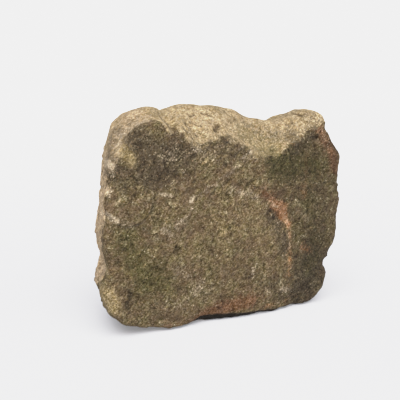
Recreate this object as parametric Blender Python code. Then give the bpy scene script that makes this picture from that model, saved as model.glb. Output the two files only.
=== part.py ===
"""A roughly squared, weathered sandstone block that serves as a plain corbel.

Run it with: blender --background --python part.py

Metres, +Z up. +X runs along the block, the dressed face looks towards -Y, and the origin is
on the bed, under the middle of the block's box.
"""

import bmesh
import bpy
import numpy as np

# Driving sizes of the block
LENGTH = 0.316
HEIGHT = 0.254
THICKNESS = 0.108

# Wear on the edges: the width of the band that each edge is rounded over
FACE_WEAR = 0.016
END_WEAR = 0.030
BED_WEAR = 0.006
CREST_WEAR = 0.008
RIM_WEAR = 0.006
CORNER_WEAR = 0.012

# Each end leans inwards from the dressed face to the back, and the top falls behind its crest,
# by this much for each metre
LEFT_TAPER = 0.27
RIGHT_TAPER = 0.16
TOP_FALL = 0.10

# The right part of the face turns away from the rest, from this share of LENGTH on
FACE_TURN_START = 0.16
FACE_TURN = 0.055

# The bed and the patch on the back are dressed flat: the rough stone stood proud by this much
BED_SKIM = 0.0030
BACK_SKIM = 0.0045
BACK_ROUNDING = 0.0130
# The front edge of the bed is chipped away: how far in, and how high
UNDERCUT_DEPTH = 0.016
UNDERCUT_RISE = 0.0022

# Roughness: the size of the lumps and how far they stand out. The top has a share of the break's
FACE_LUMPS = ((0.052, 0.0018), (0.021, 0.0013))
END_LUMPS = ((0.046, 0.0030), (0.020, 0.0018))
BREAK_LUMPS = ((0.034, 0.0040), (0.017, 0.0030))
BED_LUMPS = ((0.040, 0.0012),)
TOP_ROUGHNESS_SHARE = 0.5

# The outline of each end: (share of HEIGHT, share of LENGTH out from the middle)
LEFT_END = (
    (0.00, 0.505), (0.14, 0.517), (0.20, 0.530), (0.26, 0.520), (0.33, 0.506), (0.38, 0.516),
    (0.44, 0.518), (0.52, 0.508), (0.68, 0.492), (0.76, 0.489), (0.80, 0.486), (0.88, 0.470),
    (1.00, 0.432),
)
RIGHT_END = (
    (0.00, 0.404), (0.05, 0.430), (0.11, 0.462), (0.15, 0.478), (0.20, 0.471), (0.25, 0.486),
    (0.33, 0.508), (0.45, 0.513), (0.56, 0.517), (0.65, 0.509), (0.75, 0.508), (0.81, 0.480),
    (0.86, 0.444), (0.90, 0.433), (0.95, 0.430), (1.00, 0.420),
)

# The top is broken: its crest and the rim where the break meets the face, as
# (share of LENGTH from the middle, share of HEIGHT)
CREST = (
    (-0.44, 0.910), (-0.37, 0.966), (-0.31, 0.999), (-0.255, 1.012), (-0.22, 0.990),
    (-0.185, 1.008), (-0.12, 1.013), (-0.04, 0.992), (0.04, 0.992), (0.10, 0.978),
    (0.16, 0.932), (0.205, 0.914), (0.245, 0.914), (0.30, 0.934), (0.36, 0.968), (0.44, 0.984),
)
RIM = (
    (-0.46, 0.760), (-0.410, 0.815), (-0.385, 0.875), (-0.34, 0.915), (-0.275, 0.922),
    (-0.238, 0.880), (-0.190, 0.882), (-0.137, 0.818), (-0.08, 0.838), (-0.02, 0.842),
    (0.045, 0.820), (0.085, 0.805), (0.125, 0.745), (0.16, 0.732), (0.225, 0.768),
    (0.295, 0.806), (0.315, 0.842), (0.38, 0.885), (0.43, 0.928),
)
# How far behind the face the crest lies: (share of LENGTH, share of THICKNESS)
BREAK_DEPTH = (
    (-0.48, 0.20), (-0.34, 0.31), (-0.20, 0.40), (0.00, 0.42), (0.17, 0.40), (0.28, 0.25), (0.43, 0.15),
)

# Corners that broke off: a point on the break as shares of LENGTH and HEIGHT, and the angle
# in degrees that the break looks to, from +X round to +Z
CORNER_BREAKS = (
    (-0.470, 0.064, -148.0),
    (-0.450, 0.072, -107.0),
    (-0.432, 0.932, 124.0),
    (0.440, 0.940, 47.0),
    (0.412, 0.030, -50.0),
)

# Chips out of the edges: the place as shares of LENGTH, THICKNESS and HEIGHT, reach and depth
CHIPS = (
    (-0.125, -0.50, 0.00, 0.017, 0.0060),
    (-0.390, -0.50, 0.14, 0.014, 0.0050),
    (0.300, -0.50, 0.00, 0.022, 0.0050),
    (-0.475, -0.40, 0.71, 0.014, 0.0055),
    (0.440, -0.46, 0.20, 0.020, 0.0060),
    (-0.230, 0.50, 0.96, 0.040, 0.0120),
    (0.420, 0.50, 0.10, 0.045, 0.0140),
    (0.160, 0.50, 0.00, 0.030, 0.0070),
)

# Mesh: the length of one division. The surface is searched for between these shares of
# THICKNESS out from mid thickness, halving the stretch at each step
MESH_STEP = 0.0086
SEARCH_NEAR = 0.2
SEARCH_FAR = 0.9
SEARCH_STEPS = 24
SHARP_ANGLE = np.radians(50)

# The lattice of random values behind the lumps, and how far each size of lump is shifted in it
LATTICE_SIZE = 24
LATTICE_SHIFT = 7.3
LATTICE = np.random.default_rng(29).uniform(-1.0, 1.0, (LATTICE_SIZE,) * 3)

SANDSTONE_HEX = "7c7058"
SANDSTONE_ROUGHNESS = 0.93


def linear_colour(hex_text):
    """The linear colour of an sRGB hex value, with full alpha."""
    srgb = np.array([int(hex_text[i:i + 2], 16) / 255 for i in (0, 2, 4)])
    linear = np.where(srgb <= 0.04045, srgb / 12.92, ((srgb + 0.055) / 1.055) ** 2.4)
    return (*(float(value) for value in linear), 1.0)


def sandstone_material():
    """Weathered sandstone under its brown patina, dull all over."""
    material = bpy.data.materials.new("weathered_sandstone")
    material.use_nodes = True
    shader = material.node_tree.nodes["Principled BSDF"]
    shader.inputs["Base Color"].default_value = linear_colour(SANDSTONE_HEX)
    shader.inputs["Roughness"].default_value = SANDSTONE_ROUGHNESS
    shader.inputs["Metallic"].default_value = 0.0
    return material


def flow(points, at):
    """The value at each position on a smooth curve through points of (position, value).

    Between two points it is the cubic that leaves each with the slope of its neighbours, and
    beyond the ends it stays level.
    """
    position, value = np.array(points).T
    slope = np.gradient(value, position)
    left = np.clip(np.searchsorted(position, at) - 1, 0, len(position) - 2)
    span = position[left + 1] - position[left]
    t = np.clip((at - position[left]) / span, 0.0, 1.0)
    start = value[left] * (1 + 2 * t) * (1 - t) ** 2 + slope[left] * span * t * (1 - t) ** 2
    end = value[left + 1] * t ** 2 * (3 - 2 * t) + slope[left + 1] * span * t ** 2 * (t - 1)
    return start + end


def lumps(place, wavelengths):
    """Smooth random relief: for each (size, height), a lattice of random values blended in 3-D."""
    total = np.zeros(len(place))
    for turn, (size, height) in enumerate(wavelengths):
        cell = place / size + LATTICE_SHIFT * (turn + 1)
        corner = np.floor(cell).astype(int)
        share = cell - corner
        share = share * share * (3 - 2 * share)
        for step in np.ndindex(2, 2, 2):
            weight = np.prod(np.where(step, share, 1 - share), axis=1)
            index = (corner + step) % LATTICE_SIZE
            total += height * weight * LATTICE[index[:, 0], index[:, 1], index[:, 2]]
    return total


def worn(a, b, wear):
    """The larger of two distances, with the edge between their surfaces rounded over wear."""
    near = np.maximum(wear - np.abs(a - b), 0.0)
    return np.maximum(a, b) + near ** 2 / (4 * wear)


def face_side(place):
    """The dressed face: a plane at the front that turns away a little at the right."""
    x, y, _ = place.T
    turned = FACE_TURN * np.maximum(x - FACE_TURN_START * LENGTH, 0.0)
    return -y - THICKNESS / 2 + turned + lumps(place, FACE_LUMPS)


def end_sides(place):
    """Both ends: each outline carried to the back, leaning inwards."""
    x, y, z = place.T
    behind = y + THICKNESS / 2
    rough = lumps(place, END_LUMPS)
    left = -x - LENGTH * flow(LEFT_END, z / HEIGHT) + LEFT_TAPER * behind
    right = x - LENGTH * flow(RIGHT_END, z / HEIGHT) + RIGHT_TAPER * behind
    return left + rough, right + rough


def back_side(place):
    """The back: rough and rounded towards its edges, and proud enough in the middle to dress."""
    x, y, z = place.T
    from_middle = (2 * x / LENGTH) ** 2 + (2 * z / HEIGHT - 1) ** 2
    skim = BACK_SKIM - BACK_ROUNDING * from_middle
    return y - THICKNESS / 2 - skim + lumps(place, FACE_LUMPS)


def bed_side(place):
    """The bed: flat once dressed, with its front edge chipped away upwards."""
    _, y, z = place.T
    undercut = np.maximum(1 - (y + THICKNESS / 2) / UNDERCUT_DEPTH, 0.0)
    return -z - BED_SKIM + (BED_SKIM + UNDERCUT_RISE) * undercut + lumps(place, BED_LUMPS)


def broken_top(place):
    """The break slopes from the rim on the face up to the crest, and the top falls behind it."""
    x, y, z = place.T
    along = x / LENGTH
    crest = HEIGHT * flow(CREST, along)
    rim = HEIGHT * flow(RIM, along)
    depth = THICKNESS * flow(BREAK_DEPTH, along)
    slope = depth / (crest - rim)
    crest_y = -THICKNESS / 2 + depth
    rough = lumps(place, BREAK_LUMPS)
    broken = (crest_y + slope * (z - crest) - y) / np.sqrt(1 + slope ** 2) + rough
    top = z - crest + TOP_FALL * np.maximum(y - crest_y, 0.0)
    return broken, top + TOP_ROUGHNESS_SHARE * rough


def stone(place):
    """The distance of each place outside the block, negative inside it, near the surface."""
    x, _, z = place.T
    left, right = end_sides(place)
    broken, top = broken_top(place)
    ends = worn(left, right, END_WEAR)
    depth = worn(ends, back_side(place), END_WEAR)
    depth = worn(depth, face_side(place), FACE_WEAR)
    depth = worn(depth, worn(broken, top, CREST_WEAR), RIM_WEAR)
    depth = worn(depth, bed_side(place), BED_WEAR)
    for along, up, degrees in CORNER_BREAKS:
        look = np.radians(degrees)
        cut = (x - along * LENGTH) * np.cos(look) + (z - up * HEIGHT) * np.sin(look)
        depth = worn(depth, cut + lumps(place, END_LUMPS), CORNER_WEAR)
    for along, across, up, reach, cut in CHIPS:
        away = place - np.array((along * LENGTH, across * THICKNESS, up * HEIGHT))
        depth = depth + cut * np.exp(-(away ** 2).sum(axis=1) / reach ** 2)
    return depth


def rounded_rays(cube):
    """Rays from a plate inside the block through a box around it, for places on a unit cube.

    The plate stands at mid thickness, half a thickness in from the box's other sides. Over its
    flat part the rays are square to the face, and round its rim they fan out.
    """
    middle = np.array((0.0, 0.0, HEIGHT / 2))
    half = np.array((LENGTH, THICKNESS, HEIGHT)) / 2
    plate = half - THICKNESS / 2
    box = cube * half
    start = np.clip(box, -plate, plate)
    ray = box - start
    return start + middle, ray / np.linalg.norm(ray, axis=1, keepdims=True)


def surface_places(cube):
    """Where each ray leaves the stone, found by halving the stretch that it must lie in.

    The bed and the back are then dressed flat, and the block is centred over the origin.
    """
    start, ray = rounded_rays(cube)
    near = np.full(len(cube), SEARCH_NEAR * THICKNESS)
    far = np.full(len(cube), SEARCH_FAR * THICKNESS)
    for _ in range(SEARCH_STEPS):
        middle = (near + far) / 2
        outside = stone(start + ray * middle[:, None]) > 0
        far = np.where(outside, middle, far)
        near = np.where(outside, near, middle)
    place = start + ray * near[:, None]
    place[:, 2] = np.maximum(place[:, 2], 0.0)
    place[:, 1] = np.minimum(place[:, 1], THICKNESS / 2)
    centre = (place.min(axis=0) + place.max(axis=0)) / 2
    place[:, :2] -= centre[:2]
    return place


def divided_cube():
    """A cube from -1 to 1 whose sides are cut into divisions of about MESH_STEP on the block."""
    mesh = bmesh.new()
    bmesh.ops.create_cube(mesh, size=2.0)
    for axis, size in enumerate((LENGTH, THICKNESS, HEIGHT)):
        count = round(size / MESH_STEP)
        normal = [float(axis == other) for other in range(3)]
        for cut in range(1, count):
            point = [value * (2 * cut / count - 1) for value in normal]
            geometry = mesh.verts[:] + mesh.edges[:] + mesh.faces[:]
            bmesh.ops.bisect_plane(mesh, geom=geometry, dist=1e-6, plane_co=point, plane_no=normal)
    return mesh


def corbel_stone():
    """The block: every point of the divided cube moved out to the stone's surface."""
    cube = divided_cube()
    mesh = bpy.data.meshes.new("corbel_stone")
    cube.to_mesh(mesh)
    cube.free()
    places = np.empty(len(mesh.vertices) * 3)
    mesh.vertices.foreach_get("co", places)
    mesh.vertices.foreach_set("co", surface_places(places.reshape(-1, 3)).ravel())
    mesh.shade_smooth()
    mesh.set_sharp_from_angle(angle=SHARP_ANGLE)
    mesh.materials.append(sandstone_material())
    block = bpy.data.objects.new("corbel_stone", mesh)
    bpy.context.scene.collection.objects.link(block)
    return block


def main():
    for old in list(bpy.data.objects):
        bpy.data.objects.remove(old)
    corbel_stone()


main()
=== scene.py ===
# %% [markdown]
# # A weathered sandstone block
#
# The real object is one roughly squared block of sandstone, about as long as a forearm. Its front
# was dressed flat with a pick and has gone dark with age. The top broke away later, so the break
# is paler. The left end is worn, and algae, soot and rust have stained the face.
#
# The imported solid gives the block's size and place. This script makes a finer skin of the same
# form over it, with the tool marks, pits and grain that the eye expects, and then its finish.

import bpy
import numpy as np
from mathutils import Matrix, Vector
from mathutils.bvhtree import BVHTree


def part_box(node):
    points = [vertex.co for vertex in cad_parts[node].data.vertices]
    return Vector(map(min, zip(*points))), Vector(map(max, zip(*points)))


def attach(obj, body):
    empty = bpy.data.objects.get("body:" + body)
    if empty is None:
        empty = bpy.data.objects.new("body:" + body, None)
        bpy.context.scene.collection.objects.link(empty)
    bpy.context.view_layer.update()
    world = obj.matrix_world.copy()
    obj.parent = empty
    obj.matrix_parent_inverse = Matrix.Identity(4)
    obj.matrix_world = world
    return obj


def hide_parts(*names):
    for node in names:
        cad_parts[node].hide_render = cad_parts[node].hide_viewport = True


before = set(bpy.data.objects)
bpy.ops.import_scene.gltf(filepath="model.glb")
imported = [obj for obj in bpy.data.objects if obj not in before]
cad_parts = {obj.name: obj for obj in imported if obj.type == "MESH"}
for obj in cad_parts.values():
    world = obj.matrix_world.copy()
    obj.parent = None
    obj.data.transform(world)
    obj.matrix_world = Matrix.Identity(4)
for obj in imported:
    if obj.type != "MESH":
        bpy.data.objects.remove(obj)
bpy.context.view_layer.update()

NODE = "corbel_stone"
BOX_LOW, BOX_HIGH = (np.array(corner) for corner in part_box(NODE))
print("the block's box in mm:", np.round((BOX_HIGH - BOX_LOW) * 1000, 1))

# %% [markdown]
# ## Camera
#
# The picture was taken from the left of the face and a little above it, with a short telephoto
# lens: the block's bottom edge climbs to the right, and only a narrow strip of its left end shows.
# A camera that stands at the measured place, turned and tipped by two angles, repeats that.

# %% Place the camera
CAMERA_PLACE = (-0.3985, -0.748, 0.287)
CAMERA_TURN = np.radians(-27)
CAMERA_TIP = np.radians(10)
SENSOR_MM = 36.0
PICTURE_PIXELS = 400
FOCAL_PIXELS = 700

camera_data = bpy.data.cameras.new("camera")
camera_data.sensor_width = SENSOR_MM
camera_data.lens = SENSOR_MM * FOCAL_PIXELS / PICTURE_PIXELS
camera = bpy.data.objects.new("camera", camera_data)
camera.location = CAMERA_PLACE
camera.rotation_euler = (np.pi / 2 - CAMERA_TIP, 0.0, CAMERA_TURN)
bpy.context.scene.collection.objects.link(camera)
bpy.context.scene.camera = camera
print("lens in mm:", round(camera_data.lens, 1))

# %% [markdown]
# ## The block's form
#
# A rough stone has no profile to extrude or spin. It could be sculpted by hand, but a formula can
# be changed later. Each side of the block is written as a distance: how far a place lies outside
# that side. The block is where all the distances are negative, so the largest of them describes
# the whole, and blending two distances where they are nearly equal wears the edge between them.
#
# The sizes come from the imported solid's box, less what the outlines and lumps stand out.

# %% Sizes and outlines
# How far the outlines and lumps stand out of the nominal length, thickness and height
STANDS_OUT = np.array((0.00507, 0.00259, 0.00174))
LENGTH, THICKNESS, HEIGHT = BOX_HIGH - BOX_LOW - STANDS_OUT

FACE_WEAR, END_WEAR, BED_WEAR = 0.016, 0.030, 0.006
CREST_WEAR, RIM_WEAR, CORNER_WEAR = 0.008, 0.006, 0.012
LEFT_TAPER, RIGHT_TAPER, TOP_FALL = 0.27, 0.16, 0.10
FACE_TURN_START, FACE_TURN = 0.16, 0.055
BED_SKIM, BACK_SKIM, BACK_ROUNDING = 0.0030, 0.0045, 0.0130
UNDERCUT_DEPTH, UNDERCUT_RISE = 0.016, 0.0022

# The outline of each end: (share of HEIGHT, share of LENGTH out from the middle)
LEFT_END = (
    (0.00, 0.505), (0.14, 0.517), (0.20, 0.530), (0.26, 0.520), (0.33, 0.506), (0.38, 0.516),
    (0.44, 0.518), (0.52, 0.508), (0.68, 0.492), (0.76, 0.489), (0.80, 0.486), (0.88, 0.470),
    (1.00, 0.432),
)
RIGHT_END = (
    (0.00, 0.404), (0.05, 0.430), (0.11, 0.462), (0.15, 0.478), (0.20, 0.471), (0.25, 0.486),
    (0.33, 0.508), (0.45, 0.513), (0.56, 0.517), (0.65, 0.509), (0.75, 0.508), (0.81, 0.480),
    (0.86, 0.444), (0.90, 0.433), (0.95, 0.430), (1.00, 0.420),
)
# The broken top: its crest, and the rim where it meets the face, as shares of LENGTH and HEIGHT
CREST = (
    (-0.44, 0.910), (-0.37, 0.966), (-0.31, 0.999), (-0.255, 1.012), (-0.22, 0.990),
    (-0.185, 1.008), (-0.12, 1.013), (-0.04, 0.992), (0.04, 0.992), (0.10, 0.978),
    (0.16, 0.932), (0.205, 0.914), (0.245, 0.914), (0.30, 0.934), (0.36, 0.968), (0.44, 0.984),
)
RIM = (
    (-0.46, 0.760), (-0.410, 0.815), (-0.385, 0.875), (-0.34, 0.915), (-0.275, 0.922),
    (-0.238, 0.880), (-0.190, 0.882), (-0.137, 0.818), (-0.08, 0.838), (-0.02, 0.842),
    (0.045, 0.820), (0.085, 0.805), (0.125, 0.745), (0.16, 0.732), (0.225, 0.768),
    (0.295, 0.806), (0.315, 0.842), (0.38, 0.885), (0.43, 0.928),
)
# How far behind the face the crest lies, as shares of LENGTH and THICKNESS
BREAK_DEPTH = (
    (-0.48, 0.20), (-0.34, 0.31), (-0.20, 0.40), (0.00, 0.42), (0.17, 0.40), (0.28, 0.25), (0.43, 0.15),
)
# Broken corners: a place as shares of LENGTH and HEIGHT, and the angle that the break looks to
CORNER_BREAKS = (
    (-0.470, 0.064, -148.0), (-0.450, 0.072, -107.0), (-0.432, 0.932, 124.0),
    (0.440, 0.940, 47.0), (0.412, 0.030, -50.0),
)
# Chips out of the edges: the place as shares of LENGTH, THICKNESS and HEIGHT, reach and depth
CHIPS = (
    (-0.125, -0.50, 0.00, 0.017, 0.0060), (-0.390, -0.50, 0.14, 0.014, 0.0050),
    (0.300, -0.50, 0.00, 0.022, 0.0050), (-0.475, -0.40, 0.71, 0.014, 0.0055),
    (0.440, -0.46, 0.20, 0.020, 0.0060), (-0.230, 0.50, 0.96, 0.040, 0.0120),
    (0.420, 0.50, 0.10, 0.045, 0.0140), (0.160, 0.50, 0.00, 0.030, 0.0070),
)
# The large lumps of the rough sides: how wide each size is, and how far it stands out
FACE_LUMPS = ((0.052, 0.0018), (0.021, 0.0013))
END_LUMPS = ((0.046, 0.0030), (0.020, 0.0018))
BREAK_LUMPS = ((0.034, 0.0040), (0.017, 0.0030))
BED_LUMPS = ((0.040, 0.0012),)
TOP_ROUGHNESS_SHARE = 0.5
print("nominal block in mm:", np.round(np.array((LENGTH, THICKNESS, HEIGHT)) * 1000, 1))


# %% [markdown]
# ## Two helpers for rough stone
#
# `flow` turns a few points of an outline into a smooth curve. `noise` is the classic value noise:
# a lattice of random numbers, blended smoothly from corner to corner, which is how most natural
# relief is imitated. Both lattices have a fixed seed, so the stone is the same each time, and the
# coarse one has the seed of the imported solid, so that the large lumps fall in the same places.

# %% Smooth curves and value noise
BLOCK_LATTICE = np.random.default_rng(29).uniform(-1.0, 1.0, (24,) * 3)
GRAIN_LATTICE = np.random.default_rng(11).uniform(-1.0, 1.0, (64,) * 3)
LATTICE_SHIFT = 7.3  # keeps one size of lump from lying on the next


def flow(points, at):
    """A smooth curve through points of (position, value), read at each position.

    Between two points it is the cubic that leaves each with the slope of its neighbours, and
    beyond the ends it stays level.
    """
    position, value = np.array(points).T
    slope = np.gradient(value, position)
    left = np.clip(np.searchsorted(position, at) - 1, 0, len(position) - 2)
    span = position[left + 1] - position[left]
    t = np.clip((at - position[left]) / span, 0.0, 1.0)
    start = value[left] * (1 + 2 * t) * (1 - t) ** 2 + slope[left] * span * t * (1 - t) ** 2
    end = value[left + 1] * t ** 2 * (3 - 2 * t) + slope[left + 1] * span * t ** 2 * (t - 1)
    return start + end


def noise(cell, lattice=GRAIN_LATTICE):
    """Value noise from -1 to 1: the eight lattice values round each place, blended by shares
    that ease in and out, three times the square less twice the cube."""
    corner = np.floor(cell).astype(int)
    share = cell - corner
    share = share * share * (3 - 2 * share)
    total = np.zeros(len(cell))
    for step in np.ndindex(2, 2, 2):
        weight = np.prod(np.where(step, share, 1 - share), axis=1)
        index = (corner + step) % len(lattice)
        total += weight * lattice[index[:, 0], index[:, 1], index[:, 2]]
    return total


def lumps(place, sizes, lattice=BLOCK_LATTICE):
    """The sum over (size, height) of height times noise of that size."""
    return sum(
        height * noise(place / size + LATTICE_SHIFT * (turn + 1), lattice)
        for turn, (size, height) in enumerate(sizes)
    )


# %% [markdown]
# ## The sides of the block
#
# The face is a plane that turns away a little at the right. The ends follow their outlines and
# lean inwards to the back, as wall stones are cut. The break is a ruled surface from the rim on
# the face up to the crest. The back and the bed stand proud of where they are dressed flat.

# %% Distances of the seven sides
def worn(a, b, wear):
    """The larger of two distances, raised by a parabola where they differ by less than wear."""
    near = np.maximum(wear - np.abs(a - b), 0.0)
    return np.maximum(a, b) + near ** 2 / (4 * wear)


def block_sides(place):
    """The distance of each place outside each side: a plane, plus its turn, taper or outline,
    plus its lumps. The break is a plane between rim and crest, divided by its slope's length."""
    x, y, z = place.T
    along, behind = x / LENGTH, y + THICKNESS / 2
    rough_face, rough_end = lumps(place, FACE_LUMPS), lumps(place, END_LUMPS)
    rough_break = lumps(place, BREAK_LUMPS)
    crest, rim = HEIGHT * flow(CREST, along), HEIGHT * flow(RIM, along)
    depth = THICKNESS * flow(BREAK_DEPTH, along)
    slope = depth / (crest - rim)
    past_crest = behind - depth
    skim = BACK_SKIM - BACK_ROUNDING * ((2 * along) ** 2 + (2 * z / HEIGHT - 1) ** 2)
    undercut = np.maximum(1 - behind / UNDERCUT_DEPTH, 0.0)
    return {
        "face": FACE_TURN * np.maximum(x - FACE_TURN_START * LENGTH, 0.0) - behind + rough_face,
        "left": -x - LENGTH * flow(LEFT_END, z / HEIGHT) + LEFT_TAPER * behind + rough_end,
        "right": x - LENGTH * flow(RIGHT_END, z / HEIGHT) + RIGHT_TAPER * behind + rough_end,
        "back": y - THICKNESS / 2 - skim + rough_face,
        "bed": (BED_SKIM + UNDERCUT_RISE) * undercut - z - BED_SKIM + lumps(place, BED_LUMPS),
        "break": (slope * (z - crest) - past_crest) / np.sqrt(1 + slope ** 2) + rough_break,
        "top": z - crest + TOP_FALL * np.maximum(past_crest, 0) + TOP_ROUGHNESS_SHARE * rough_break,
        "corner": rough_end,
    }


def block_depth(place):
    """How far each place is outside the worn block: the sides blended one after another, then
    the broken corners, and each chip added as a bell curve round its place."""
    x, _, z = place.T
    sides = block_sides(place)
    depth = worn(worn(sides["left"], sides["right"], END_WEAR), sides["back"], END_WEAR)
    depth = worn(depth, sides["face"], FACE_WEAR)
    depth = worn(depth, worn(sides["break"], sides["top"], CREST_WEAR), RIM_WEAR)
    depth = worn(depth, sides["bed"], BED_WEAR)
    for along, up, degrees in CORNER_BREAKS:
        look = np.radians(degrees)
        cut = (x - along * LENGTH) * np.cos(look) + (z - up * HEIGHT) * np.sin(look)
        depth = worn(depth, cut + sides["corner"], CORNER_WEAR)
    for along, across, up, reach, cut in CHIPS:
        away = place - np.array((along * LENGTH, across * THICKNESS, up * HEIGHT))
        depth = depth + cut * np.exp(-(away ** 2).sum(axis=1) / reach ** 2)
    return depth


# %% [markdown]
# ## A skin from a divided cube
#
# A cube's six sides, each a grid of two parameters, share their edges, so the skin is closed and
# has no poles. Every grid point sends a ray out of a flat plate inside the stone, and the point
# moves along it to where the distance above is zero. Halving the stretch again and again finds it.

# %% Grid over a cube and the search along its rays
SKIN_COUNTS = np.array((186, 56, 150))
FRONT_CROWDING = 1.2
SEARCH_NEAR, SEARCH_FAR, SEARCH_STEPS = 0.2, 0.9, 20


def cube_skin(counts):
    """The lattice places on a cube from -1 to 1 and the quads between them, facing outwards."""
    on_skin = np.zeros(counts + 1, dtype=bool)
    on_skin[[0, -1]] = on_skin[:, [0, -1]] = on_skin[:, :, [0, -1]] = True
    number = np.full(on_skin.shape, -1)
    number[on_skin] = np.arange(on_skin.sum())
    quads = []
    for axis in range(3):
        for end in (0, -1):
            side = np.take(number, end, axis=axis)
            quad = np.stack([side[:-1, :-1], side[1:, :-1], side[1:, 1:], side[:-1, 1:]], axis=-1)
            outwards = (end == -1) != (axis == 1)
            quads.append(quad.reshape(-1, 4)[:, ::1 if outwards else -1])
    return 2 * np.argwhere(on_skin) / counts - 1, np.concatenate(quads)


def skin_places(cube):
    """Where the ray through each place of the cube leaves the block.

    The depth is crowded to the front by a power, the cube is stretched to the block's box, and
    the ray starts at the nearest place of a plate half a thickness smaller all round.
    """
    cube = cube.copy()
    cube[:, 1] = 2 * ((cube[:, 1] + 1) / 2) ** FRONT_CROWDING - 1
    half = np.array((LENGTH, THICKNESS, HEIGHT)) / 2
    plate = half - THICKNESS / 2
    start = np.clip(cube * half, -plate, plate)
    ray = cube * half - start
    ray /= np.linalg.norm(ray, axis=1, keepdims=True)
    start[:, 2] += HEIGHT / 2
    near = np.full(len(cube), SEARCH_NEAR * THICKNESS)
    far = np.full(len(cube), SEARCH_FAR * THICKNESS)
    for _ in range(SEARCH_STEPS):
        middle = (near + far) / 2
        outside = block_depth(start + ray * middle[:, None]) > 0
        far = np.where(outside, middle, far)
        near = np.where(outside, near, middle)
    return start + ray * near[:, None]


cube, quads = cube_skin(SKIN_COUNTS)
form = skin_places(cube)
dressed = np.stack([form[:, 0], np.minimum(form[:, 1], THICKNESS / 2), np.maximum(form[:, 2], 0)], 1)
sides = block_sides(dressed)
shift = np.array((0.0, BOX_HIGH[1] - THICKNESS / 2, 0.0))
shift[0] = (BOX_LOW[0] + BOX_HIGH[0] - dressed[:, 0].min() - dressed[:, 0].max()) / 2
print(len(quads) * 2, "triangles, moved by", np.round(shift * 1000, 2), "mm to sit in the frame")

# %% [markdown]
# ## Does the skin fit the solid?
#
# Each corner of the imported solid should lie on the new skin. A bounding volume tree answers the
# question "how far is the nearest face" quickly, even for ninety thousand faces.

# %% Measure the fit
def largest_gap(places, faces, node):
    """The farthest that a corner of the CAD node lies from the faces, in millimetres."""
    tree = BVHTree.FromPolygons(places.tolist(), faces.tolist())
    corners = {tuple(vertex.co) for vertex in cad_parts[node].data.vertices}
    return 1000 * max(tree.find_nearest(Vector(corner))[3] for corner in corners)


print("largest gap to the solid in mm:", round(largest_gap(dressed + shift, quads, NODE), 2))


# %% [markdown]
# ## Regions and marks
#
# The old face and the fresh break meet along a ragged rim, and the worn left end begins behind a
# wavy line. Both lines are given by a few measured points, and noise frays them. Behind, where the
# picture shows nothing, the break begins where its own side lies farthest out. Smaller marks, such
# as a stain or a scratch, are strokes: each fades like a bell curve with the distance to a run of
# points (x, z).

# %% Regions and strokes
RIM_LINE = (
    (-0.160, 0.170), (-0.148, 0.186), (-0.140, 0.199), (-0.136, 0.208), (-0.130, 0.219), (-0.127, 0.226),
    (-0.119, 0.233), (-0.110, 0.237), (-0.092, 0.238), (-0.087, 0.232), (-0.082, 0.225), (-0.071, 0.228),
    (-0.066, 0.225), (-0.060, 0.215), (-0.050, 0.211), (-0.043, 0.213), (-0.031, 0.215), (-0.021, 0.214),
    (-0.009, 0.216), (-0.004, 0.212), (0.009, 0.210), (0.018, 0.209), (0.022, 0.202), (0.026, 0.195),
    (0.036, 0.193), (0.045, 0.189), (0.054, 0.191), (0.067, 0.198), (0.080, 0.205), (0.095, 0.212),
    (0.100, 0.219), (0.109, 0.222), (0.121, 0.225), (0.135, 0.232),
)
STRIP_LINE = (
    (0.040, 0.030), (0.048, 0.009), (0.062, -0.030), (0.079, -0.043), (0.092, -0.034), (0.108, -0.038),
    (0.122, -0.044), (0.134, -0.049), (0.138, -0.051), (0.144, -0.048), (0.151, -0.046), (0.158, -0.045),
    (0.169, -0.047), (0.172, -0.040), (0.179, -0.037), (0.186, -0.043), (0.192, -0.044), (0.205, -0.047),
)
RAGGED = ((0.0110, 0.0016), (0.0060, 0.0016), (0.0038, 0.0012))
EDGE_BLUR = 0.0009
STRIP_WANDER, STRIP_WANDER_SIZE = 0.030, 0.026


def ease(value, low, high):
    """0 below low, 1 above high, and three squares less two cubes of the share between."""
    t = np.clip((value - low) / (high - low), 0.0, 1.0)
    return t * t * (3 - 2 * t)


def stroke(width, *points):
    """A bell curve of the distance to the nearest run between the points, on the front alone."""
    flat, points = dressed[:, [0, 2]], np.array(points)
    nearest = np.full(len(flat), np.inf)
    for start, end in zip(points, np.roll(points, -1, axis=0)[:max(len(points) - 1, 1)]):
        run = end - start
        share = np.clip((flat - start) @ run / max(run @ run, 1e-12), 0.0, 1.0)
        nearest = np.minimum(nearest, np.linalg.norm(flat - start - share[:, None] * run, axis=1))
    return front * np.exp(-(nearest / width) ** 2)


def strokes(table):
    """The sum of strokes, each given as (strength, width, points...)."""
    return sum(strength * stroke(width, *points) for strength, width, *points in table)


x, y, z = dressed.T
ragged = lumps(dressed, RAGGED, GRAIN_LATTICE)
front = ease(-y, 0.000, 0.030)
behind = ease(y, -0.012, 0.012)

rim_behind = np.maximum(sides["break"], sides["top"]) - np.maximum(sides["back"], sides["right"])
above_rim = (1 - behind) * (z - flow(RIM_LINE, x)) + behind * rim_behind
# The rim frays most a little right of the middle, so the noise is scaled up there
fraying = 1 + 1.2 * ease(x, -0.030, 0.010) * ease(-x, -0.075, -0.055)
on_break = ease(above_rim + fraying * ragged, -EDGE_BLUR, EDGE_BLUR)

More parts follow.
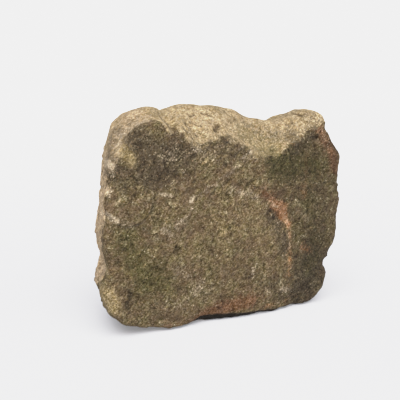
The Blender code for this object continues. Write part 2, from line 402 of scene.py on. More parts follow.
behind_strip = np.where(x < 0, y - flow(STRIP_LINE, z), -1.0)
behind_strip += STRIP_WANDER * noise(dressed / STRIP_WANDER_SIZE) * ease(y, -0.030, 0.000)
on_left = ease(behind_strip + 1.3 * ragged, -0.0012, 0.0012) * (1 - on_break) * ease(-x, 0.118, 0.136)
past_face = sides["right"] - sides["face"]
on_right = ease(past_face + ragged, -0.004, 0.004) * ease(x, 0.05, 0.10) * (1 - on_break)
on_face = ease(-y, 0.020, 0.040) * (1 - on_break) * (1 - on_left) * (1 - on_right)
print("share of points on face, break, left end:", on_face.mean(), on_break.mean(), on_left.mean())

# %% [markdown]
# ## Three kinds of rough surface
#
# The mason worked the face in slanting rows, so part of its relief is noise stretched along one
# direction, over gentle lumps. The break is smoother, with short crevices along its layers: a
# crevice runs where a noise crosses zero. The ends were knocked off in flakes: each place takes
# the tilt of its nearest scattered point, which leaves small flat facets.

# %% Tool marks, crevices and flakes
def turned(place, angle):
    """The place turned in the plane of the face: its part along the angle, depth, and across."""
    x, y, z = place.T
    along = x * np.cos(angle) + z * np.sin(angle)
    return np.stack([along, y, z * np.cos(angle) - x * np.sin(angle)], axis=1)


def crevices(place, angle, cell, width):
    """From 0 to 1: a bell curve of a stretched noise, wherever a second noise is above zero."""
    line = noise(turned(place, angle) / cell)
    return np.exp(-(line / width) ** 2) * ease(noise(place / cell[0] + LATTICE_SHIFT), 0.0, 0.3)


def scattered(cells, turn):
    """Three random numbers for each cell: the lattice, rolled by another amount on each axis."""
    return np.stack([np.roll(GRAIN_LATTICE, turn + 9 * axis, axis)[cells] for axis in range(3)], 1)


def flakes(place, size, tilt):
    """Facets: the height is tilt times the distance from the nearest scattered point, measured
    along that point's own direction. One point is scattered in each cell of the given size."""
    cell = place / size
    corner = np.floor(cell).astype(int)
    nearest, height = np.full(len(place), np.inf), np.zeros(len(place))
    for step in np.ndindex(3, 3, 3):
        index = corner + np.array(step) - 1
        in_lattice = tuple((index % len(GRAIN_LATTICE)).T)
        point = index + 0.5 + 0.45 * scattered(in_lattice, 0)
        away = cell - point
        distance = (away ** 2).sum(axis=1)
        closer = distance < nearest
        nearest = np.where(closer, distance, nearest)
        height = np.where(closer, (away * scattered(in_lattice, 17)).sum(axis=1), height)
    return tilt * size * height


TOOL_TURN = np.radians(36)
TOOL_CELLS = ((np.array((0.030, 0.014, 0.0075)), 0.0007), (np.array((0.016, 0.008, 0.0042)), 0.0005))
# The tool marks are fullest round one place of the face, and elsewhere this share of them is left
WORKED_LEAST = 0.35
HEWN_LUMPS = ((0.0240, 0.0016), (0.0110, 0.0011), (0.0056, 0.0004))
TORN_LUMPS = ((0.0170, 0.0008), (0.0080, 0.0006), (0.0046, 0.0003))
LAYER_TURN, LAYER_CELL = np.radians(-22), np.array((0.016, 0.012, 0.0065))
CREVICE_WIDTH, CREVICE_DEPTH = 0.16, 0.0004

tooled = sum(height * noise(turned(dressed, TOOL_TURN) / cell) for cell, height in TOOL_CELLS)
from_middle = ((x - 0.010) / 0.060) ** 2 + ((z - 0.175) / 0.050) ** 2
worked = WORKED_LEAST + (1 - WORKED_LEAST) * np.exp(-from_middle)
hewn = lumps(dressed, HEWN_LUMPS, GRAIN_LATTICE)
layered = crevices(dressed, LAYER_TURN, LAYER_CELL, CREVICE_WIDTH)
torn = lumps(dressed, TORN_LUMPS, GRAIN_LATTICE) - CREVICE_DEPTH * layered
flaked = flakes(dressed, 0.0130, 0.16) + flakes(dressed + 0.5, 0.0070, 0.14)
print("tallest tool mark, lump, tear and flake in mm:",
      [round(float(np.ptp(part)) * 1000, 1) for part in (tooled, hewn, torn, flaked)])

# %% [markdown]
# ## Single marks
#
# Some marks are particular to this stone: furrows that run up to the right, notches and the line
# of the iron seam, a flake that stayed on the face at the left, and pits and clefts in the break.
# Their depths are guesses, because one picture shows no depth.

# %% Furrows, notches, pits and the flake
# Each mark: its depth, its width, and the points (x, z) that it runs through
FURROWS = (
    (0.0012, 0.0016, (-0.050, 0.150), (-0.011, 0.174), (0.036, 0.203)),
    (0.0010, 0.0014, (0.000, 0.187), (0.030, 0.207)),
    (0.0010, 0.0014, (-0.014, 0.211), (0.004, 0.221)),
    (0.0012, 0.0014, (0.004, 0.198), (0.024, 0.211)),
    (0.0008, 0.0016, (-0.030, 0.176), (-0.004, 0.192)),
    (0.0008, 0.0016, (-0.062, 0.166), (-0.036, 0.182)),
    (0.0008, 0.0016, (-0.020, 0.150), (0.010, 0.168)),
)
NOTCHES = (
    (0.0020, 0.0022, (-0.091, 0.210), (-0.091, 0.201), (-0.087, 0.188), (-0.083, 0.182)),
    (0.0024, 0.0050, (-0.133, 0.057), (-0.130, 0.046), (-0.134, 0.036)),
    (0.0015, 0.0042, (-0.075, 0.094), (-0.070, 0.082)),
    (0.0018, 0.0028, (-0.096, 0.081), (-0.093, 0.077)),
    (0.0035, 0.0018, (-0.156, 0.122), (-0.155, 0.120)),
    (0.0014, 0.0022, (0.044, 0.135), (0.050, 0.126), (0.057, 0.118), (0.065, 0.111), (0.071, 0.099),
     (0.075, 0.086)),
    (0.0016, 0.0026, (0.118, 0.214), (0.104, 0.216), (0.100, 0.208)),
)
PITS = (
    (0.0042, 0.0036, (-0.016, 0.227), (-0.010, 0.230)),
    (0.0024, 0.0020, (-0.043, 0.243), (-0.036, 0.244)),
    (0.0028, 0.0020, (-0.026, 0.245), (-0.018, 0.243)),
    (0.0024, 0.0020, (-0.046, 0.236), (-0.034, 0.232)),
    (0.0020, 0.0018, (0.020, 0.239), (0.028, 0.237)),
    (0.0026, 0.0022, (0.085, 0.229), (0.093, 0.231)),
    (0.0030, 0.0018, (0.104, 0.241), (0.107, 0.240)),
    (0.0026, 0.0030, (-0.084, 0.243), (-0.078, 0.236), (-0.071, 0.230)),
    (0.0022, 0.0026, (-0.062, 0.232), (-0.052, 0.219)),
    (0.0018, 0.0022, (-0.055, 0.235), (-0.042, 0.222)),
)
FLAKE_CENTRE, FLAKE_REACH, FLAKE_HEIGHT = np.array((-0.130, 0.160)), np.array((0.028, 0.033)), 0.0022
FLAKE_RAGGEDNESS = 25
# Old marks are worn: this share of each depth is left, and gaps of this size break them up
FURROW_LEFT, NOTCH_LEFT, PIT_LEFT, GAP_SIZE = 0.5, 0.7, 0.55, 0.009


def kept_flake():
    """A flat ellipse with a crisp edge, which fades out upwards."""
    radius = np.linalg.norm((dressed[:, [0, 2]] - FLAKE_CENTRE) / FLAKE_REACH, axis=1)
    fade = ease(FLAKE_CENTRE[1] + 0.6 * FLAKE_REACH[1] - z, 0.0, FLAKE_REACH[1])
    return front * ease(1 - radius + FLAKE_RAGGEDNESS * ragged, -0.03, 0.06) * fade


face_relief = 1.3 * worked * tooled + hewn + 0.40 * flaked + FLAKE_HEIGHT * kept_flake()
broken_up = ease(noise(dressed / GAP_SIZE), -0.5, 0.3)
face_relief -= broken_up * (FURROW_LEFT * strokes(FURROWS) + NOTCH_LEFT * strokes(NOTCHES))
break_relief = torn - PIT_LEFT * strokes(PITS)
end_relief = flaked + 0.6 * hewn
rest = np.clip(1 - on_face - on_break - on_left - on_right, 0.0, 1.0)
relief = on_face * face_relief + on_break * break_relief
relief += (on_left + on_right) * end_relief + rest * (0.7 * flaked + 0.8 * torn)
print("relief from", round(relief.min() * 1000, 2), "to", round(relief.max() * 1000, 2), "mm")

# %% [markdown]
# ## Put the relief on the skin
#
# A vertex normal is the sum of the normals of its quads. The relief moves each place along it.
# Under the front edge the stone doesn't quite touch the table: a low hollow, highest a little left
# of the middle, goes in there, and the material paints a dark line of shade along it. Last, the bed
# and the back are pressed flat again, because those two were dressed to sit against other stones.

# %% Move the skin and make its mesh
def corner_normals(places, faces):
    """At each place, the summed cross products of the diagonals of its quads, at length one."""
    a, b, c, d = (places[faces[:, corner]] for corner in range(4))
    across = np.cross(c - a, d - b)
    total = np.zeros_like(places)
    for corner in range(4):
        np.add.at(total, faces[:, corner], across)
    return total / np.linalg.norm(total, axis=1, keepdims=True)


def mesh_from_arrays(name, places, faces):
    """A mesh whose vertices and quads are set from whole arrays."""
    mesh = bpy.data.meshes.new(name)
    mesh.vertices.add(len(places))
    mesh.loops.add(faces.size)
    mesh.polygons.add(len(faces))
    mesh.vertices.foreach_set("co", places.ravel())
    mesh.loops.foreach_set("vertex_index", faces.ravel())
    mesh.polygons.foreach_set("loop_start", np.arange(0, faces.size, 4))
    mesh.update(calc_edges=True)
    mesh.validate()
    mesh.shade_smooth()
    return mesh


# How high the hollow under the front edge is, as (share of LENGTH, metres), and how far it goes in
HOLLOW_HEIGHT = (
    (-0.50, 0.0012), (-0.45, 0.0020), (-0.30, 0.0022), (-0.20, 0.0026), (-0.168, 0.0030), (-0.145, 0.0088),
    (-0.10, 0.0096), (-0.02, 0.0078), (0.10, 0.0056), (0.25, 0.0032), (0.36, 0.0020), (0.50, 0.0010),
)
HOLLOW_REACH, HOLLOW_BLUR = 0.0018, 0.0007
top_of_hollow = flow(HOLLOW_HEIGHT, x / LENGTH)
# The strip under the front edge: the skin is pushed in there, and the material paints it as a dark line of
# shade
under_edge_recess_and_shade = 1 - ease(z, top_of_hollow - HOLLOW_BLUR, top_of_hollow + HOLLOW_BLUR)
under_edge_recess_and_shade *= ease(-y, 0.36 * THICKNESS, 0.40 * THICKNESS)

normals = corner_normals(form, quads)
skin = form + normals * relief[:, None] + shift
skin[:, 1] += HOLLOW_REACH * under_edge_recess_and_shade
skin[:, 1] = np.minimum(skin[:, 1], BOX_HIGH[1])
skin[:, 2] = np.maximum(skin[:, 2], BOX_LOW[2])
stone = bpy.data.objects.new("weathered_block", mesh_from_arrays("weathered_block", skin, quads))
bpy.context.scene.collection.objects.link(stone)
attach(stone, "root")
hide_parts(NODE)
print("skin box in mm:", np.round((skin.max(axis=0) - skin.min(axis=0)) * 1000, 1))


# %% [markdown]
# ## Where the weathering and the painted shade lie
#
# Each kind of stain, and each place of painted shade, is a mask from 0 to 1 at every vertex, kept
# as an attribute of the mesh, so the material can mix a colour by it. The patina is whole on the old
# face, thin or rubbed off in places, and missing from the break but for a thin film over the rim.
# The relief itself is a mask too: its hollows are darkened, as dirt and as painted shade, and its
# raised places lightened, as painted light. The clefts of the break are a mask as well. Three more
# masks paint shade: on the strip under the front edge, on the face right of the iron seam, and on
# the face towards its foot near the table.

# %% Tables of stains, with a few painted shadow lines
# Each stroke: its strength, its width, and the points (x, z) that it runs through
IRON = (
    (0.85, 0.0082, (0.056, 0.134), (0.068, 0.121)),
    (0.30, 0.0100, (0.040, 0.152), (0.075, 0.152)),
    (0.38, 0.0070, (0.040, 0.149), (0.052, 0.142)),
    (0.85, 0.0085, (-0.042, 0.011), (-0.010, 0.015), (0.022, 0.019)),
    (0.34, 0.0110, (-0.020, 0.020), (0.040, 0.026)),
    (0.35, 0.0060, (0.060, 0.010), (0.080, 0.011)),
    (0.95, 0.0080, (0.119, 0.228), (0.126, 0.214), (0.138, 0.198), (0.148, 0.172)),
    (0.45, 0.0060, (0.100, 0.078), (0.110, 0.072)),
    (0.40, 0.0060, (-0.090, 0.006), (-0.040, 0.006)),
    (0.35, 0.0040, (0.103, 0.190), (0.100, 0.160)),
)
CRUST_MARKS = (
    (0.30, 0.0050, (0.050, 0.140), (0.056, 0.137)),
    (1.15, 0.0056, (0.058, 0.133), (0.064, 0.129), (0.069, 0.122)),
    (0.60, 0.0040, (0.064, 0.136), (0.072, 0.133)),
    (0.60, 0.0040, (0.066, 0.137), (0.071, 0.124)),
    (0.74, 0.0038, (0.070, 0.118), (0.077, 0.110)),
    (0.48, 0.0042, (0.077, 0.110), (0.079, 0.098)),
    (0.44, 0.0040, (0.080, 0.094), (0.080, 0.068)),
    (0.36, 0.0036, (0.080, 0.064), (0.078, 0.044)),
    (0.50, 0.0035, (0.044, 0.010), (0.054, 0.012)),
    (0.40, 0.0050, (0.098, 0.156), (0.101, 0.142)),
    (0.42, 0.0050, (0.100, 0.078), (0.110, 0.073)),
    (0.36, 0.0060, (0.124, 0.220), (0.133, 0.207), (0.140, 0.192)),
)
OCHRE = (
    (0.26, 0.0300, (0.000, 0.132), (0.040, 0.100)),
    (1.10, 0.0070, (-0.134, 0.208), (-0.127, 0.200)),
    (1.00, 0.0100, (-0.156, 0.054), (-0.149, 0.038)),
    (0.40, 0.0060, (-0.042, 0.197), (-0.032, 0.192)),
    (0.35, 0.0060, (-0.018, 0.118), (-0.010, 0.070)),
)
ALGAE = (
    (0.16, 0.0110, (-0.030, 0.228), (0.000, 0.224), (0.036, 0.210)),
    (0.24, 0.0080, (-0.066, 0.236), (-0.050, 0.222)),
    (0.75, 0.0200, (-0.136, 0.112), (-0.120, 0.078), (-0.108, 0.060)),
    (0.45, 0.0160, (-0.090, 0.080), (-0.080, 0.050)),
    (0.75, 0.0220, (0.060, 0.182), (0.115, 0.178)),
    (0.50, 0.0180, (0.105, 0.130), (0.118, 0.090), (0.112, 0.050)),
    (0.40, 0.0120, (-0.100, 0.125), (-0.085, 0.118)),
    (0.35, 0.0200, (0.000, 0.100), (-0.030, 0.060)),
)
# Soot, and a few painted shadow lines: along the left of the iron seam, and under and right of the kept
# flake
SOOT_AND_SHADOW_LINES = (
    (0.18, 0.0060, (-0.052, 0.206), (-0.020, 0.209), (0.010, 0.205), (0.026, 0.190)),
    (0.42, 0.0110, (-0.152, 0.200), (-0.150, 0.215), (-0.140, 0.232)),
    (0.45, 0.0300, (-0.118, 0.200), (-0.075, 0.190)),
    (0.55, 0.0300, (0.104, 0.016), (0.120, 0.060)),
    (0.35, 0.0300, (-0.132, 0.030), (-0.095, 0.030)),
    (0.30, 0.0200, (-0.060, 0.200), (-0.010, 0.196)),
    (0.70, 0.0150, (-0.118, 0.222), (-0.098, 0.196), (-0.108, 0.178)),
    (0.42, 0.0120, (-0.075, 0.216), (-0.060, 0.205)),
    (0.55, 0.0070, (0.050, 0.184), (0.074, 0.194), (0.095, 0.206), (0.116, 0.219)),
    (0.22, 0.0080, (-0.030, 0.208), (0.016, 0.204)),
    (0.45, 0.0250, (0.100, 0.190), (0.124, 0.120), (0.112, 0.050)),
    # Painted shadow: a dark line along the left of the iron seam
    (0.98, 0.0105, (0.050, 0.124), (0.059, 0.110), (0.066, 0.096), (0.070, 0.080)),
    (0.25, 0.0070, (-0.132, 0.056), (-0.130, 0.040)),
    (0.30, 0.0300, (0.060, 0.010), (0.110, 0.030)),
    (0.50, 0.0030, (-0.090, 0.206), (-0.082, 0.182)),
    (0.60, 0.0018, (-0.006, 0.195), (0.014, 0.208)),
    (0.60, 0.0016, (0.006, 0.192), (0.022, 0.203)),
    (0.60, 0.0020, (-0.014, 0.211), (-0.003, 0.219)),
    (0.60, 0.0100, (-0.144, 0.186), (-0.137, 0.170)),
    # Painted shadow under the lower edge of the kept flake
    (0.45, 0.0080, (-0.142, 0.132), (-0.110, 0.121)),
    (0.45, 0.0150, (0.052, 0.186), (0.076, 0.172)),
    (0.42, 0.0170, (0.022, 0.056), (0.058, 0.032)),
    (0.62, 0.0180, (-0.118, 0.208), (-0.092, 0.190)),
    # Painted shadow along the right edge of the kept flake
    (0.45, 0.0060, (-0.104, 0.150), (-0.100, 0.128)),
    (0.42, 0.0050, (-0.014, 0.218), (0.000, 0.214)),
    (0.45, 0.0090, (0.064, 0.216), (0.086, 0.214)),
    (0.30, 0.0080, (0.018, 0.236), (0.040, 0.226)),
    (0.55, 0.0080, (0.038, 0.147), (0.050, 0.144)),
    (0.22, 0.0050, (-0.074, 0.086), (-0.068, 0.079)),
    (0.40, 0.0055, (-0.020, 0.106), (-0.014, 0.098)),
    (0.24, 0.0110, (0.044, 0.220), (0.060, 0.213)),
    (0.26, 0.0100, (-0.158, 0.180), (-0.152, 0.206)),
)
# Where the patina is rubbed off
BARE = (
    (0.85, 0.0050, (-0.002, 0.217), (0.008, 0.215), (0.015, 0.211)),
    (0.34, 0.0060, (-0.046, 0.208), (-0.030, 0.206), (-0.008, 0.206)),
    (0.30, 0.0050, (0.024, 0.199), (0.036, 0.191)),
)
PALE = (
    (0.60, 0.0022, (-0.092, 0.159), (-0.080, 0.157)),
    (1.20, 0.0022, (-0.058, 0.149), (-0.054, 0.153)),
    (0.80, 0.0016, (-0.056, 0.141), (-0.055, 0.140)),
    (0.24, 0.0026, (-0.058, 0.136), (-0.066, 0.130)),
    (0.32, 0.0040, (-0.071, 0.128), (-0.075, 0.121)),
    (0.24, 0.0070, (-0.072, 0.122), (-0.064, 0.126)),
    (0.44, 0.0048, (-0.091, 0.121), (-0.082, 0.111)),
    (0.40, 0.0030, (-0.101, 0.111), (-0.099, 0.110)),
    (0.40, 0.0055, (0.020, 0.152), (0.029, 0.146)),
    (0.40, 0.0050, (-0.004, 0.158), (0.012, 0.152)),
    (0.50, 0.0020, (0.026, 0.062), (0.026, 0.048)),
    (0.60, 0.0040, (0.068, 0.028), (0.074, 0.027)),
    (0.40, 0.0030, (0.044, 0.030), (0.050, 0.028)),
    (1.20, 0.0030, (-0.150, 0.197), (-0.147, 0.193)),
    (0.50, 0.0022, (-0.136, 0.220), (-0.127, 0.230), (-0.118, 0.236), (-0.102, 0.241)),
    (0.55, 0.0030, (-0.138, 0.214), (-0.139, 0.206)),
    (0.34, 0.0018, (0.000, 0.200), (0.018, 0.212)),
    (0.34, 0.0018, (0.010, 0.194), (0.024, 0.204)),
    (0.50, 0.0018, (-0.147, 0.190), (-0.146, 0.182)),
    (0.60, 0.0020, (-0.149, 0.168), (-0.151, 0.161)),
    (0.85, 0.0028, (-0.154, 0.142), (-0.150, 0.138), (-0.146, 0.135)),
    (0.32, 0.0045, (-0.146, 0.135), (-0.136, 0.130), (-0.124, 0.128)),
    (0.34, 0.0050, (-0.052, 0.207), (-0.040, 0.200), (-0.028, 0.196)),
    (0.30, 0.0036, (-0.046, 0.154), (-0.014, 0.175), (0.032, 0.204)),
    (0.22, 0.0130, (-0.036, 0.038), (-0.072, 0.030)),
    (0.34, 0.0060, (-0.050, 0.044), (-0.042, 0.052)),
    (0.30, 0.0070, (-0.076, 0.074), (-0.062, 0.062)),
    (0.28, 0.0070, (-0.090, 0.200), (-0.072, 0.204)),
    (0.34, 0.0050, (0.098, 0.122), (0.106, 0.112)),
    (0.55, 0.0026, (0.052, 0.136), (0.058, 0.132)),
    (0.40, 0.0030, (0.070, 0.120), (0.075, 0.112)),
    (0.34, 0.0030, (0.079, 0.098), (0.080, 0.080)),
    (0.30, 0.0060, (0.126, 0.216), (0.136, 0.204)),
)

# %% Masks for the finish
def keep_mask(name, values):
    """Stores one value for each vertex under a name that the material can read."""
    stone.data.attributes.new(name, "FLOAT", "POINT").data.foreach_set("value", np.clip(values, 0, 1))
    print(f"{name}: mean {np.clip(values, 0, 1).mean():.3f}")


def smoothed(values, faces, rounds):
    """Each value replaced by the mean of its quads' means, as many times as there are rounds."""
    count = np.bincount(faces.ravel(), minlength=len(values))
    for _ in range(rounds):
        middle = values[faces].mean(axis=1)
        values = np.bincount(faces.ravel(), np.repeat(middle, 4), len(values)) / count
    return values


# The line of the iron seam, as (z, x)
SEAM_LINE = (
    (0.000, 0.084), (0.029, 0.080), (0.045, 0.078), (0.064, 0.080), (0.083, 0.080), (0.099, 0.079),
    (0.110, 0.076), (0.117, 0.071), (0.126, 0.063), (0.136, 0.056), (0.150, 0.050), (0.170, 0.044),
    (0.190, 0.040),
)
HOLLOW_DEPTH, HOLLOW_ROUNDS = 0.0005, 5
DEEPEST_PIT = max(depth for depth, *_ in PITS)
broad = noise(dressed / 0.034 + 3.1)
middling = noise(dressed / 0.014 + 5.7)
thin_film = 0.3 * np.exp(-(above_rim / 0.012) ** 2) * ease(x, -0.075, -0.045)
patina = 1 - on_break * (1 - thin_film) - 0.9 * on_left - 0.25 * rest * ease(broad, -0.2, 0.7)
green_middle = on_break * 0.36 * ease(x, -0.060, 0.000) * ease(-x, -0.090, -0.050)
grey_right = on_break * 0.40 * ease(x + 0.3 * (z - 0.230), 0.060, 0.110)

keep_mask("patina", patina - strokes(BARE))
keep_mask("worn_end", on_left + 0.8 * on_break * ease(-x, 0.090, 0.108))
keep_mask("iron", strokes(IRON) * (1 - on_break))
keep_mask("crust", strokes(CRUST_MARKS) * (1 - on_break))
# Painted shade: darkens the face right of the iron seam
keep_mask("seam_right_shade", front * (1 - on_break) * ease(x - flow(SEAM_LINE, z) + ragged, -0.005, 0.010))
keep_mask("ochre", strokes(OCHRE) + on_break * 0.45 * ease(broad + 0.5 * middling, -0.1, 0.8))
keep_mask("algae", strokes(ALGAE) + green_middle * ease(broad, -0.5, 0.5))
keep_mask("soot_and_shadow", strokes(SOOT_AND_SHADOW_LINES) + grey_right * ease(middling, -0.6, 0.6))
keep_mask("pale", strokes(PALE))
keep_mask("cleft", on_break * (0.40 * layered + strokes(PITS) / DEEPEST_PIT))
# Dirt and painted shade in the hollows of the relief, painted light on its raised places
keep_mask("relief_dirt_and_shading", 0.5 + (smoothed(relief, quads, HOLLOW_ROUNDS) - relief) / (2 * HOLLOW_DEPTH))
# Painted shade: the strip under the front edge
keep_mask("under_edge_recess_and_shade", under_edge_recess_and_shade)
# Painted shade: the face darker towards its foot near the table
keep_mask("foot_shade", 1 - ease(z, 0.010, 0.110))


# %% [markdown]
# ## Weathered sandstone
#
# Sandstone is quartz sand held by clay and iron: dull all over, with grains that the eye just
# tells apart. Inside it is tan. Outdoors a film of soot, algae and rust darkens it unevenly. It
# scatters light in all directions, so roughness is near one.
#
# Real grains are 0.2 to 1 mm. One picture point covers 1.2 mm here, so the grains are drawn at
# 1.4 mm, with clusters of 3.6 mm, short slanting streaks of 2.1 mm as the pick left them, and
# clouds of colour of 9 and 26 mm.

# %% Colours and the node helper
def linear(hex_text):
    """The linear colour of an sRGB hex value: the upper part is a power of 2.4."""
    srgb = np.array([int(hex_text[i:i + 2], 16) / 255 for i in (0, 2, 4)])
    value = np.where(srgb <= 0.04045, srgb / 12.92, ((srgb + 0.055) / 1.055) ** 2.4)
    return (*(float(part) for part in value), 1.0)


def add_node(tree, kind, settings=None, inputs=None):
    """Adds a node, sets its settings, and gives each input a value or a link."""
    node = tree.nodes.new(kind)
    for name, value in (settings or {}).items():
        setattr(node, name, value)
    for name, value in (inputs or {}).items():
        if isinstance(value, bpy.types.NodeSocket):
            tree.links.new(value, node.inputs[name])
        else:
            node.inputs[name].default_value = value
    return node


TAN_LIGHT, TAN_DEEP, WORN_PINK = linear("ab997a"), linear("8a785b"), linear("a79276")
PATINA_BROWN, PATINA_OLIVE = linear("67553f"), linear("5e5337")
SOOT_AND_SHADOW_GREY, RUST, OCHRE_YELLOW = linear("42392c"), linear("674732"), linear("95835e")
# The near-black colour is dirt in the hollows, and painted shade there and under the front edge
ALGAE_GREEN, CREAM, DIRT_AND_SHADE = linear("454222"), linear("b8a78d"), linear("1e1710")
CRUST, CLEFT_BROWN, PALE_OLIVE = linear("a07552"), linear("5d4a30"), linear("988b70")
GRAIN_MM, CLUSTER_MM, MOTTLE_MM, CLOUD_MM = 1.4, 3.6, 9.0, 26.0
STREAK_TURN, STREAK_MM, STREAK_STRETCH = np.radians(42), 2.1, 3.2
STAIN_STRENGTH, SHINE, BUMP_DEPTH = 0.75, 0.25, 0.0012

# %% Build the sandstone
# The sockets of a mix node that mixes colours, by number, because several share one name
MIX_FACTOR, MIX_A, MIX_B, MIX_RESULT = 0, 6, 7, 2


def weathered_sandstone():
    """Tan stone, patina, stains by their masks, among them a few painted shadow lines, then dirt and
    painted shade in the hollows, a painted dark line under the front edge, and grain over all, with
    painted light on raised places and painted shade right of the iron seam and towards the foot.

    A grain's random number makes it lighter or darker, and the darker ones a little stronger in
    colour. The patina roughens the grain, and the fresh break is more even.
    """
    material = bpy.data.materials.new("weathered_sandstone")
    material.use_nodes = True
    tree = material.node_tree
    shader = tree.nodes["Principled BSDF"]
    place = add_node(tree, "ShaderNodeTexCoord").outputs["Object"]

    def ramp(value, low, high, to_low=0.0, to_high=1.0):
        """The value stretched from one range to another, and kept inside it."""
        return add_node(tree, "ShaderNodeMapRange", inputs={
            "Value": value, "From Min": low, "From Max": high, "To Min": to_low, "To Max": to_high,
        }).outputs["Result"]

    def cloud(size_mm, detail=3.0, distortion=0.0):
        """Noise of a real size, mostly between 0.3 and 0.7, drawn out into threads by distortion."""
        return add_node(tree, "ShaderNodeTexNoise", inputs={
            "Vector": place, "Scale": 1000 / size_mm, "Detail": detail, "Roughness": 0.65,
            "Distortion": distortion}).outputs["Fac"]

    def math(operation, a, b):
        """One sum, difference or product."""
        return add_node(tree, "ShaderNodeMath", {"operation": operation}, {0: a, 1: b}).outputs[0]

    def mask(name):
        """A mask of the mesh."""
        return add_node(tree, "ShaderNodeAttribute", {"attribute_name": name}).outputs["Fac"]

    def patchy(name, size_mm, soft=0.30):
        """A mask broken into patches and grains: it shows where mask, noise and grain pass one."""
        broken = math("ADD", cloud(size_mm, 4.0), ramp(grain_tone.outputs["Blue"], 0.0, 1.0, -0.25, 0.25))
        return ramp(math("ADD", mask(name), broken), 1.0 - soft, 1.0 + soft)

    def blend(factor, a, b, kind="MIX"):
        """Colour b over colour a by a factor."""
        return add_node(tree, "ShaderNodeMix", {"data_type": "RGBA", "blend_type": kind}, {
            MIX_FACTOR: factor, MIX_A: a, MIX_B: b}).outputs[MIX_RESULT]

    grains = add_node(tree, "ShaderNodeTexVoronoi", inputs={"Vector": place, "Scale": 1000 / GRAIN_MM})
    grain_tone = add_node(tree, "ShaderNodeSeparateColor", inputs={"Color": grains.outputs["Color"]})
    cluster, mottle, drift = cloud(CLUSTER_MM, 4.0, 0.8), cloud(MOTTLE_MM), cloud(CLOUD_MM)
    slanted = add_node(tree, "ShaderNodeMapping", {"vector_type": "TEXTURE"}, {
        "Vector": place, "Rotation": (0.0, -STREAK_TURN, 0.0), "Scale": (STREAK_STRETCH, 1.0, 1.0)})
    streak = add_node(tree, "ShaderNodeTexNoise", inputs={
        "Vector": slanted.outputs["Vector"], "Scale": 1000 / STREAK_MM, "Detail": 2.0}).outputs["Fac"]

    colour = blend(ramp(mottle, 0.38, 0.62), TAN_LIGHT, TAN_DEEP)
    colour = blend(mask("worn_end"), colour, WORN_PINK)
    film = blend(ramp(math("ADD", mottle, drift), 0.85, 1.15), PATINA_BROWN, PATINA_OLIVE)
    colour = blend(patchy("patina", 3.0), colour, film)
    spots = ramp(math("ADD", mottle, cloud(6.5, 2.0, 0.6)), 1.10, 1.30, 0.0, 0.45)
    colour = blend(math("MULTIPLY", spots, mask("patina")), colour, PALE_OLIVE)
    for name, stain, size_mm in (
        ("soot_and_shadow", SOOT_AND_SHADOW_GREY, 7.0), ("algae", ALGAE_GREEN, 6.0), ("ochre", OCHRE_YELLOW, 5.0),
        ("iron", RUST, 4.0), ("crust", CRUST, 4.5), ("cleft", CLEFT_BROWN, 3.0),
        ("pale", CREAM, 1.8),
    ):
        colour = blend(math("MULTIPLY", patchy(name, size_mm), STAIN_STRENGTH), colour, stain)
    fleck = math("MULTIPLY", ramp(grain_tone.outputs["Green"], 0.95, 0.98), ramp(mottle, 0.50, 0.62))
    colour = blend(math("MULTIPLY", fleck, 0.6), colour, CREAM)
    # Dirt and painted shade in the hollows
    colour = blend(ramp(mask("relief_dirt_and_shading"), 0.75, 1.0, 0.0, 0.35), colour, DIRT_AND_SHADE)
    # Painted shade: the strip under the front edge takes the near-black colour in full
    colour = blend(mask("under_edge_recess_and_shade"), colour, DIRT_AND_SHADE)

    grain_light = grain_tone.outputs["Red"]
    roughened = ramp(mask("patina"), 0.0, 1.0, 0.62, 1.16)
    strength = math("MULTIPLY", roughened, ramp(drift, 0.35, 0.65, 0.80, 1.20))
    colour = add_node(tree, "ShaderNodeHueSaturation", inputs={
        "Color": colour, "Saturation": ramp(grain_light, 0.0, 1.0, 1.21, 0.87)}).outputs["Color"]
    shade = math("ADD", 1.0, math("MULTIPLY", strength, ramp(grain_light, 0.0, 1.0, -0.5, 0.5)))
    for pattern, low, high, dark, light in (
        (cluster, 0.3, 0.7, 0.84, 1.16), (streak, 0.3, 0.7, 0.68, 1.32),
        (mottle, 0.3, 0.7, 0.84, 1.16), (drift, 0.35, 0.65, 0.82, 1.18),
        # Painted shade in the hollows and painted light on raised places, then painted shade right of the
        # iron seam
        (mask("relief_dirt_and_shading"), 1.0, 0.0, 0.80, 1.20), (mask("seam_right_shade"), 1.0, 0.0, 0.72, 1.00),
        # Painted shade: darker towards the foot
        (mask("foot_shade"), 1.0, 0.0, 0.90, 1.00),
    ):
        shade = math("MULTIPLY", shade, ramp(pattern, low, high, dark, light))
    tree.links.new(blend(1.0, colour, shade, "MULTIPLY"), shader.inputs["Base Color"])

    tree.links.new(ramp(cluster, 0.3, 0.7, 0.98, 0.86), shader.inputs["Roughness"])
    shader.inputs["Specular IOR Level"].default_value = SHINE
    grain_height = math("MULTIPLY", strength, grains.outputs["Distance"])
    lumpy = math("ADD", math("MULTIPLY", mottle, 2.5), cluster)
    height = math("SUBTRACT", math("ADD", lumpy, streak), grain_height)
    bump = add_node(tree, "ShaderNodeBump", inputs={
        "Height": height, "Distance": BUMP_DEPTH, "Strength": 1.0})
    tree.links.new(bump.outputs["Normal"], shader.inputs["Normal"])
    return material


stone.data.materials.append(weathered_sandstone())
print("sandstone nodes:", len(stone.data.materials[0].node_tree.nodes))


# %% [markdown]
# ## Floor and light
#
# The block stands on a plain white table. The light comes from two very wide lamps, as lit cloths
# would give: a strong one above the left shoulder and a weak one low on the right. A sun lamp with
# a wide angle does that, and lights the whole table alike. The table has a faint gloss, so the
# stone shows dimly in it, and glows a little, as a white table lit from below does.
#
# The room is white up to just above eye height, where it meets the table without a line, and
# greyer above, so that the stone keeps some shade.

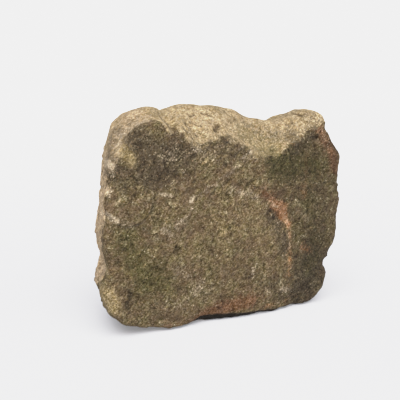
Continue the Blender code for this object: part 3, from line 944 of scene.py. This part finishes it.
# %% Floor
FLOOR_SIZE = 60.0
FLOOR_WHITE, FLOOR_GLOW = linear("d2d2d6"), 0.30
FLOOR_ROUGHNESS, FLOOR_SHINE = 0.08, 0.05

floor_places = np.array(((-1, -1, 0), (1, -1, 0), (1, 1, 0), (-1, 1, 0))) * FLOOR_SIZE / 2
floor = bpy.data.objects.new("table", mesh_from_arrays("table", floor_places, np.array(((0, 1, 2, 3),))))
bpy.context.scene.collection.objects.link(floor)
lacquer = bpy.data.materials.new("white_lacquer")
lacquer.use_nodes = True
gloss = lacquer.node_tree.nodes["Principled BSDF"]
gloss.inputs["Base Color"].default_value = FLOOR_WHITE
gloss.inputs["Emission Color"].default_value = FLOOR_WHITE
gloss.inputs["Emission Strength"].default_value = FLOOR_GLOW
gloss.inputs["Roughness"].default_value = FLOOR_ROUGHNESS
gloss.inputs["Specular IOR Level"].default_value = FLOOR_SHINE
floor.data.materials.append(lacquer)

# %% Lamps and sky
# Each lamp: its name, the direction it shines from, its width in degrees and its strength
LAMPS = (
    ("left_cloth", (-0.34, -0.60, 1.00), 60, 4.30),
    ("right_cloth", (0.30, -1.10, 0.90), 60, 0.95),
)
SKY_EDGE_LOW, SKY_EDGE_HIGH = np.sin(np.radians((8, 20)))
SKY_LOW, SKY_HIGH, SKY_STRENGTH = linear("f1f1f1"), linear("646468"), 1.6

for name, direction, wide_degrees, strength in LAMPS:
    lamp_data = bpy.data.lights.new(name, "SUN")
    lamp_data.angle = np.radians(wide_degrees)
    lamp_data.energy = strength
    lamp = bpy.data.objects.new(name, lamp_data)
    lamp.rotation_euler = Vector(direction).to_track_quat("Z", "Y").to_euler()
    bpy.context.scene.collection.objects.link(lamp)

world = bpy.data.worlds.new("studio")
world.use_nodes = True
sky = world.node_tree
look = add_node(sky, "ShaderNodeTexCoord").outputs["Generated"]
up = add_node(sky, "ShaderNodeSeparateXYZ", inputs={"Vector": look}).outputs["Z"]
share = add_node(sky, "ShaderNodeMapRange", inputs={
    "Value": up, "From Min": SKY_EDGE_LOW, "From Max": SKY_EDGE_HIGH}).outputs["Result"]
tone = add_node(sky, "ShaderNodeMix", {"data_type": "RGBA"}, {
    MIX_FACTOR: share, MIX_A: SKY_LOW, MIX_B: SKY_HIGH})
sky.links.new(tone.outputs[MIX_RESULT], sky.nodes["Background"].inputs["Color"])
sky.nodes["Background"].inputs["Strength"].default_value = SKY_STRENGTH
bpy.context.scene.world = world
print("lamps:", [name for name, *_ in LAMPS])

# %% [markdown]
# ## Exposure
#
# A white table in such a picture is exposed almost to full white, where film or a camera's tone
# curve levels off, so its shadows nearly vanish. The curve below is straight up to a middle tone,
# which leaves the stone as it is lit, and then bends level.

# %% Tone curve
BRIGHTEST = 2.0
TONES = (
    (0.12, 0.12), (0.24, 0.24), (0.45, 0.45), (0.65, 0.65), (0.85, 0.78), (1.10, 0.85), (1.60, 0.875),
    (2.00, 0.88),
)

view = bpy.context.scene.view_settings
view.view_transform = "Standard"
view.use_curve_mapping = True
view.curve_mapping.white_level = (BRIGHTEST,) * 3
combined = view.curve_mapping.curves[3]
for light, shown in TONES[:-1]:
    combined.points.new(light / BRIGHTEST, shown)
combined.points[-1].location = (1.0, TONES[-1][1])
view.curve_mapping.update()
print("tone curve:", [tuple(round(part, 2) for part in point.location) for point in combined.points])
